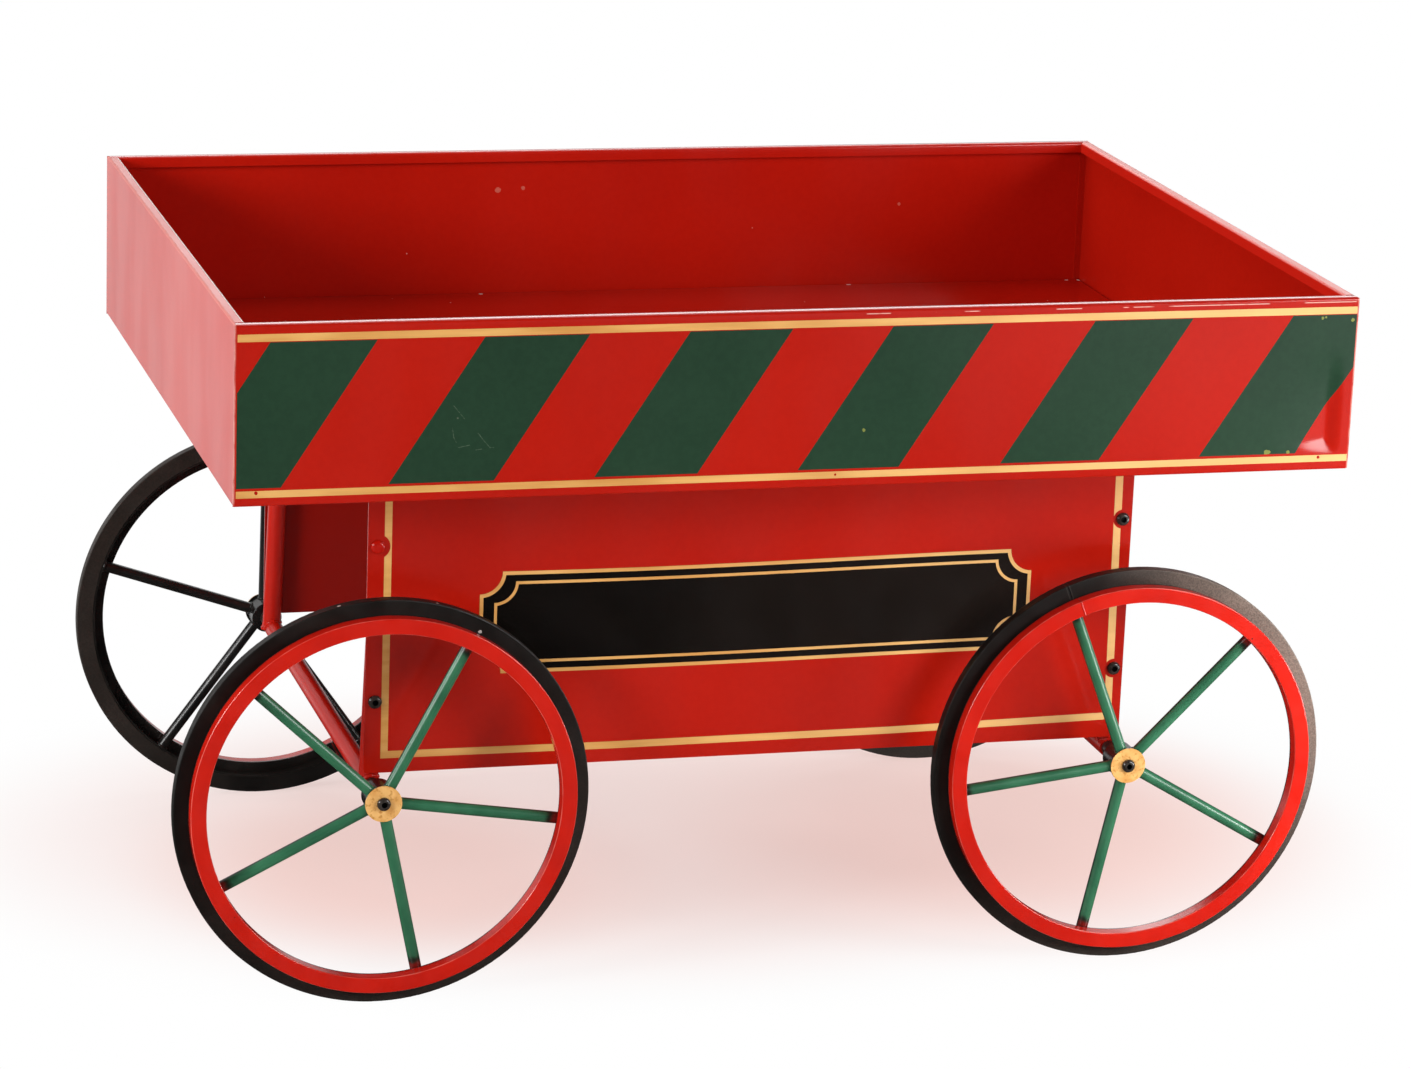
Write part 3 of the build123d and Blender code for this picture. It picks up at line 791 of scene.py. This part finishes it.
# Rectangle with a quarter-round scoop out of each corner, drawn in by inset, with points along the long sides
def scooped(shape, inset):
    x0, x1, z0, z1, radius = shape
    grown = radius + inset
    lean = math.degrees(math.asin(inset / grown))
    points = []
    for cx, cz, start in ((x0, z0, 90), (x1, z0, 180), (x1, z1, 270), (x0, z1, 0)):
        bend = arc(cx, cz, grown, start - lean, start - 90 + lean, SCOOP_STEPS)
        if points and abs(points[-1][0] - bend[0][0]) > abs(points[-1][1] - bend[0][1]):
            (ax, az), (bx, bz) = points[-1], bend[0]
            points += list(zip(spread(ax, bx, SIDE_STEPS), spread(az, bz, SIDE_STEPS)))[1:-1]
        points += bend
    moved = []
    for x, z in points:
        up = (z - PLAQUE[2]) / (PLAQUE[3] - PLAQUE[2])
        wave = math.cos(2 * math.pi * (x - SAG_X) / SAG_WAVE)
        shift = LOW_SHIFT + (HIGH_SHIFT - LOW_SHIFT) * up
        moved.append((x, z + shift - (LOW_SAG + (HIGH_SAG - LOW_SAG) * up) * wave))
    return moved


# Line of a given width inside a scooped outline, as one quadrilateral for each step round it
def scooped_line(shape, width):
    outer, inner = scooped(shape, 0.0), scooped(shape, width)
    after = [(i + 1) % len(outer) for i in range(len(outer))]
    return [[outer[i], outer[j], inner[j], inner[i]] for i, j in enumerate(after)]


for where in ("front", "rear"):
    rear = where == "rear"
    film(where + "_panel_border", border_polygons(), gold, rear)
    film(where + "_plaque_field", [scooped(PLAQUE, 0.0)], black_field, rear)
    film(where + "_plaque_outer_line", scooped_line(PLAQUE, LINE), gold, rear, 1)
    film(where + "_plaque_inner_line", scooped_line(PLAQUE_INNER, LINE_INNER), gold, rear, 1)

# Weld beads: sides of the cross-section, points along each bead, the post bead's radius in mm, and how far a
# bead's radius swells and strays
BEAD_SIDES, POST_POINTS, SPOKE_POINTS = 8, 40, 28
POST_BEAD = 1.5
SWELL, RIPPLE, STRAY = 0.16, 1.9, 0.08
# Beads at a spoke's rim end and hub end, in mm: seat radius, inset, bead radius, half its width along the
# axle. The bead on the hub is flat enough to turn clear of the washer
SPOKE_BEADS = ((BAND_INNER, -0.3, 1.3, SPOKE_R), (HUB_R, 0.4, 0.9, 3.9))


# Lumpy closed bead along a loop of points
def bead(bm, path, radius, rng):
    count = len(path)
    rings = []
    for i, p in enumerate(path):
        ahead = (path[(i + 1) % count] - path[i - 1]).normalized()
        upright = abs(ahead.z) > 0.95
        side = (ahead.orthogonal() if upright else ahead.cross(Vector((0, 0, 1)))).normalized()
        up = side.cross(ahead)
        r = radius * (1 + SWELL * math.sin(i * RIPPLE) + rng.uniform(-STRAY, STRAY))
        turn = [2 * math.pi * k / BEAD_SIDES for k in range(BEAD_SIDES)]
        rings.append([bm.verts.new(p + (side * math.cos(a) + up * math.sin(a)) * r) for a in turn])
    for i in range(count):
        a, b = rings[i], rings[(i + 1) % count]
        for k in range(BEAD_SIDES):
            m = (k + 1) % BEAD_SIDES
            bm.faces.new((a[k], a[m], b[m], b[k]))


# Post feet are welded to the axle tubes round their saddle cut
rng = random.Random(8278)
bm = bmesh.new()
for side_x in (-1, 1):
    for side_y in (-1, 1):
        path = []
        for i in range(POST_POINTS):
            a = 2 * math.pi * i / POST_POINTS
            x = side_x * POST_FOOT_X + TUBE_R * math.cos(a)
            y = side_y * POST_Y + TUBE_R * math.sin(a)
            off = min(abs(x - side_x * AXLE_X), TUBE_R)
            path.append(Vector((x, y, AXLE_Z + math.sqrt(TUBE_R ** 2 - off ** 2))))
        bead(bm, path, POST_BEAD, rng)
piece("post_foot_welds", bm, [red_tube], "cart", BEAD_SMOOTH)

# Spokes are welded to the rim and to the hub
for corner, wheel in WHEELS.items():
    centre_x, side = wheel_place(corner)
    centre = Vector((centre_x, side * WHEEL_Y, AXLE_Z))
    bm = bmesh.new()
    for angle in wheel["spokes"]:
        turn = math.radians(angle)
        along = Vector((math.cos(turn), 0, math.sin(turn)))
        across = Vector((-math.sin(turn), 0, math.cos(turn)))
        for seat, inset, radius, flat in SPOKE_BEADS:
            path = []
            for i in range(SPOKE_POINTS):
                a = 2 * math.pi * i / SPOKE_POINTS
                t = SPOKE_R * math.sin(a)
                y = max(-flat, min(flat, SPOKE_R * math.cos(a)))
                reach = math.sqrt(seat ** 2 - t ** 2) + inset
                path.append(centre + along * reach + across * t + Vector((0, y, 0)))
            bead(bm, path, radius, rng)
    finish = spoke_finish[corner]
    piece(corner + "_spoke_welds", bm, [finish], corner + "_wheel", BEAD_SMOOTH)

# Studio levels: what glossy paint sees of a dark room, the soft fill, and pools (centre, radius) in metres
# where the cart's red lights the floor
DARK_ROOM, FILL = 0.015, 0.11
FLOOR_RADIUS, FLOOR_DROP = 30.0, 0.0002
RED_POOLS = (((0.32, 0.05, 0.0), 0.38), ((-0.23, 0.04, 0.0), 0.27))
WHITE = (1.0, 1.0, 1.0)


# Floor: pale and matt, lifted to white for the camera away from the cart, and near it tinted pink as painted
# red light bounced from the cart. Glossy paint sees it white behind the cart and to the right
def floor_material():
    material = bpy.data.materials.new("studio_floor")
    material.use_nodes = True
    material.node_tree.nodes.clear()
    g = Graph(material.node_tree)
    place = g.node("TexCoord").outputs["Object"]
    x, y, z = g.split(place)
    rays = g.node("LightPath").outputs
    values = {"Vector": place, "Location": (-0.01, -0.3, 0), "Scale": (1.5, 2.3, 1)}
    away = g.length(g.node("Mapping", values).outputs[0])
    cloth = g.node("TexNoise", {"Vector": place, "Scale": 7.0, "Detail": 3.0}).outputs[0]
    tint = g.mix(cloth, (0.90, 0.875, 0.865), (0.94, 0.925, 0.915))
    matt = g.node("BsdfDiffuse", {"Color": tint}).outputs[0]
    # Painted red bounce light: pinker near the cart
    pale = g.mix(g.between(away, 0.4, 1.05, 1.0, 0.0), WHITE, (1.0, 0.80, 0.765))
    for centre, radius in RED_POOLS:
        near = g.between(g.distance(place, centre), 0.25 * radius, radius, 0.8, 0.0)
        pale = g.mix(near, pale, (0.95, 0.62, 0.56))
    lit = g.node("Emission", {"Color": pale, "Strength": 1.0}).outputs[0]
    lift = g.product(rays["Is Camera Ray"], g.between(away, 0.3, 1.15, 0.64, 1.0))
    shown = g.node("MixShader", {0: lift, 1: matt, 2: lit}).outputs[0]
    sweep = g.largest(g.between(y, 0.3, 1.2, DARK_ROOM, 0.92), g.between(x, 0.55, 1.5, DARK_ROOM, 0.60))
    seen = g.node("Emission", {"Color": (*WHITE, 1.0), "Strength": sweep}).outputs[0]
    glossy = g.largest(rays["Is Glossy Ray"], rays["Is Transmission Ray"])
    shown = g.node("MixShader", {0: glossy, 1: shown, 2: seen}).outputs[0]
    g.node("OutputMaterial", {"Surface": shown})
    return material


bm = bmesh.new()
bmesh.ops.create_circle(bm, cap_ends=True, segments=96, radius=FLOOR_RADIUS)
mesh = bpy.data.meshes.new("studio_floor")
bm.to_mesh(mesh)
bm.free()
mesh.materials.append(floor_material())
floor = bpy.data.objects.new("studio_floor", mesh)
floor.location.z = -FLOOR_DROP
bpy.context.scene.collection.objects.link(floor)

# World: white for the camera; for gloss a white backdrop behind the cart and a dark room round it; soft fill
world = bpy.data.worlds.new("studio")
bpy.context.scene.world = world
world.use_nodes = True
g = Graph(world.node_tree)
rays = g.node("LightPath").outputs
across, along, up = g.split(g.node("TexCoord").outputs["Generated"])
backdrop = g.between(g.math("ABSOLUTE", across), 0.40, 0.55, 0.70, 0.1)
gloss = g.math("MULTIPLY_ADD", backdrop, g.between(along, 0.0, 0.5), DARK_ROOM)
level = g.node("Mix", {0: rays["Is Glossy Ray"], 2: FILL, 3: gloss}).outputs[0]
level = g.node("Mix", {0: rays["Is Camera Ray"], 2: level, 3: 1.0}).outputs[0]
background = g.tree.nodes["Background"]
background.inputs["Color"].default_value = (*WHITE, 1.0)
g.tree.links.new(level, background.inputs["Strength"])

# Softboxes: name, place, target, width and height in metres, power in watts
SOFTBOXES = (
    ("key_right", (1.55, -1.75, 1.0), (0.0, 0.0, 0.35), 0.95, 0.95, 33.0),
    ("fill_left", (-3.1, -1.7, 1.5), (0.0, 0.0, 0.35), 1.0, 1.0, 74.0),
    ("side_left", (-2.6, 0.3, 1.15), (-0.3, 0.0, 0.35), 0.8, 0.8, 24.0),
    ("back", (0.75, 2.3, 1.45), (0.1, -0.3, 0.575), 2.4, 0.6, 15.0),
    ("low_right", (0.78, -0.52, 0.2), (0.45, -0.28, 0.2), 0.14, 0.14, 1.8),
    ("top", (0.0, 0.5, 3.4), (0.0, 0.0, 0.3), 2.4, 1.8, 28.0),
)
for name, place, target, width, height, power in SOFTBOXES:
    lamp = bpy.data.lights.new(name, "AREA")
    lamp.shape = "RECTANGLE"
    lamp.size, lamp.size_y = width, height
    lamp.energy = power
    softbox = bpy.data.objects.new(name, lamp)
    softbox.location = place
    softbox.rotation_euler = (Vector(target) - Vector(place)).to_track_quat("-Z", "Y").to_euler()
    bpy.context.scene.collection.objects.link(softbox)

# Camera at the photograph's place: azimuth, elevation and roll in degrees
CAMERA_PLACE = (-1.07025, -3.84743, 1.41893)
CAMERA_TURN = (-15.821, 15.601, 2.219)
camera = bpy.data.cameras.new("camera")
camera.sensor_width = 36.0
camera.lens = 123.489
holder = bpy.data.objects.new("camera", camera)
bpy.context.scene.collection.objects.link(holder)
azimuth, elevation, roll = (math.radians(v) for v in CAMERA_TURN)
level_back = Vector((math.sin(azimuth), -math.cos(azimuth), 0)) * math.cos(elevation)
back = level_back + Vector((0, 0, math.sin(elevation)))
right = (-back).cross(Vector((0, 0, 1))).normalized()
up = back.cross(right)
tilted_right = right * math.cos(roll) + up * math.sin(roll)
tilted_up = up * math.cos(roll) - right * math.sin(roll)
turned = Matrix((tilted_right, tilted_up, back)).transposed().to_4x4()
holder.matrix_world = Matrix.Translation(CAMERA_PLACE) @ turned
bpy.context.scene.camera = holder
bpy.context.scene.view_settings.view_transform = "Standard"

bpy.context.view_layer.update()
